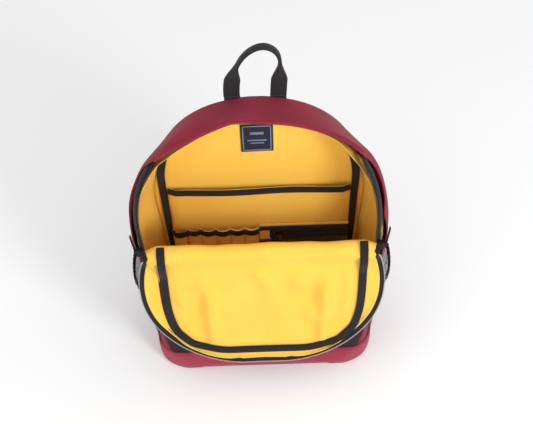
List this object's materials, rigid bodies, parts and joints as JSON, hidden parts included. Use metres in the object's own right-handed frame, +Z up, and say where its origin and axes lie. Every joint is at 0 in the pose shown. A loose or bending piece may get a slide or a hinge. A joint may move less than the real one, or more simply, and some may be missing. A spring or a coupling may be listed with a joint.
{
  "type": "daypack",
  "caption": "Panel-loading daypack, front panel unzipped and folded down, with lined main space, sleeve, organiser, side mesh pockets, haul loop and shoulder straps.",
  "frame": {"origin": "on the ground plane under the middle of the base", "axes": "+Z up, +X to the right seen from the front, +Y towards the wearer's back; the zip mouth faces -Y"},
  "size_m": [0.354, 0.2121, 0.4729],
  "materials": {
    "burgundy_canvas": "plain-weave burgundy pack cloth",
    "yellow_lining": "thin plain-weave yellow lining",
    "black_binding": "ribbed seam binding tape",
    "black_webbing": "woven webbing",
    "strap_foam_cloth": "padded cloth with mesh backing",
    "zip_tape": "woven zip tape",
    "zip_coil": "moulded coil teeth",
    "zip_metal": "dark bronze lacquer",
    "black_mesh": "open knitted mesh",
    "woven_label": "damask-woven label",
    "buckle_plastic": "moulded nylon"
  },
  "bodies": {
    "pack": {"base_boot": "burgundy_canvas", "front_panel_lower": "burgundy_canvas", "gusset_top": "burgundy_canvas", "side_panel_left": "burgundy_canvas", "side_panel_right": "burgundy_canvas", "back_panel": "burgundy_canvas", "strap_yoke": "burgundy_canvas", "gusset_lining": "yellow_lining", "back_lining": "yellow_lining", "laptop_sleeve": "yellow_lining", "pen_slots": "yellow_lining", "zip_pocket_back": "yellow_lining", "rear_seam_binding": "black_binding", "sleeve_binding": "black_binding", "pen_binding": "black_binding", "zip_pocket_binding": "black_binding", "side_pocket_hem_left": "black_binding", "side_pocket_hem_right": "black_binding", "anchor_tab_left": "black_webbing", "anchor_tab_right": "black_webbing", "rear_zip_tape": "zip_tape", "pocket_zip_tape": "zip_tape", "rear_zip_coil": "zip_coil", "pocket_zip_coil": "zip_coil", "mesh_pocket": "black_mesh", "side_pocket_left": "black_mesh", "side_pocket_right": "black_mesh", "label": "woven_label"},
    "flap": {"flap_panel": "burgundy_canvas", "flap_fold": "burgundy_canvas", "flap_strip": "yellow_lining", "flap_lining": "yellow_lining", "flap_binding": "black_binding", "front_zip_tape": "zip_tape", "front_zip_coil": "zip_coil", "front_pocket": "burgundy_canvas", "front_pocket_zip": "zip_tape"},
    "haul_loop": {"haul_loop": "black_webbing"},
    "strap_left": {"strap_pad_left": "strap_foam_cloth", "ladder_lock_left": "buckle_plastic", "strap_webbing_left": "black_webbing"},
    "strap_right": {"strap_pad_right": "strap_foam_cloth", "ladder_lock_right": "buckle_plastic", "strap_webbing_right": "black_webbing"},
    "tail_left": {"webbing_tail_left": "black_webbing"},
    "tail_right": {"webbing_tail_right": "black_webbing"},
    "slider_left": {"main_slider_left": "zip_metal"},
    "slider_right": {"main_slider_right": "zip_metal"},
    "pull_left": {"main_pull_left": "zip_metal"},
    "pull_right": {"main_pull_right": "zip_metal"},
    "pocket_slider": {"pocket_slider": "zip_metal"},
    "pocket_pull": {"pocket_pull": "zip_metal"},
    "front_slider": {"front_slider": "zip_metal"},
    "front_pull": {"front_pull": "zip_metal"}
  },
  "joints": [
    {"name": "flap_fold_down", "type": "hinge", "parent": "pack", "child": "flap", "pos_m": [0, -0.03, 0.218], "axis": [-1, 0, 0], "range_deg": [0, 174]},
    {"name": "haul_loop_tilt", "type": "hinge", "parent": "pack", "child": "haul_loop", "pos_m": [0, 0.076, 0.3915], "axis": [1, 0, 0], "range_deg": [-55, 55], "stiffness_Nm_per_rad": 0.03},
    {"name": "strap_swing_right", "type": "hinge", "parent": "pack", "child": "strap_right", "pos_m": [0.112, 0.0785, 0.046], "axis": [-0.2215, 0.0392, 0.9744], "range_deg": [-10, 10], "stiffness_Nm_per_rad": 0.2},
    {"name": "tail_swing_right", "type": "hinge", "parent": "strap_right", "child": "tail_right", "pos_m": [0.08, 0.1005, 0.117], "axis": [1, 0, 0], "range_deg": [0, 70]},
    {"name": "main_zip_right", "type": "slide", "parent": "pack", "child": "slider_right", "axis": [0.1821, 0.3205, 0.9296], "range_m": [0, 0.034]},
    {"name": "main_pull_right", "type": "hinge", "parent": "slider_right", "child": "pull_right", "pos_m": [0.16098, -0.02695, 0.22162], "axis": [0, 0.9454, -0.326], "range_deg": [0, 150]},
    {"name": "strap_swing_left", "type": "hinge", "parent": "pack", "child": "strap_left", "pos_m": [-0.112, 0.0785, 0.046], "axis": [0.2215, 0.0392, 0.9744], "range_deg": [-10, 10], "stiffness_Nm_per_rad": 0.2},
    {"name": "tail_swing_left", "type": "hinge", "parent": "strap_left", "child": "tail_left", "pos_m": [-0.08, 0.1005, 0.117], "axis": [1, 0, 0], "range_deg": [0, 70]},
    {"name": "main_zip_left", "type": "slide", "parent": "pack", "child": "slider_left", "axis": [-0.1821, 0.3205, 0.9296], "range_m": [0, 0.034]},
    {"name": "main_pull_left", "type": "hinge", "parent": "slider_left", "child": "pull_left", "pos_m": [-0.16098, -0.02695, 0.22162], "axis": [0, -0.9454, 0.326], "range_deg": [0, 150]},
    {"name": "pocket_zip_slide", "type": "slide", "parent": "pack", "child": "pocket_slider", "axis": [1, 0, 0], "range_m": [0, 0.085]},
    {"name": "pocket_pull_swing", "type": "hinge", "parent": "pocket_slider", "child": "pocket_pull", "pos_m": [0.0263, 0.03902, 0.1507], "axis": [-1, 0, 0], "range_deg": [0, 100]},
    {"name": "front_zip_slide", "type": "slide", "parent": "flap", "child": "front_slider", "axis": [1, 0, 0], "range_m": [0, 0.12]},
    {"name": "front_pull_swing", "type": "hinge", "parent": "front_slider", "child": "front_pull", "pos_m": [-0.07, -0.0623, 0.09625], "axis": [0, 0.9602, -0.2792], "range_deg": [-60, 60]}
  ]
}
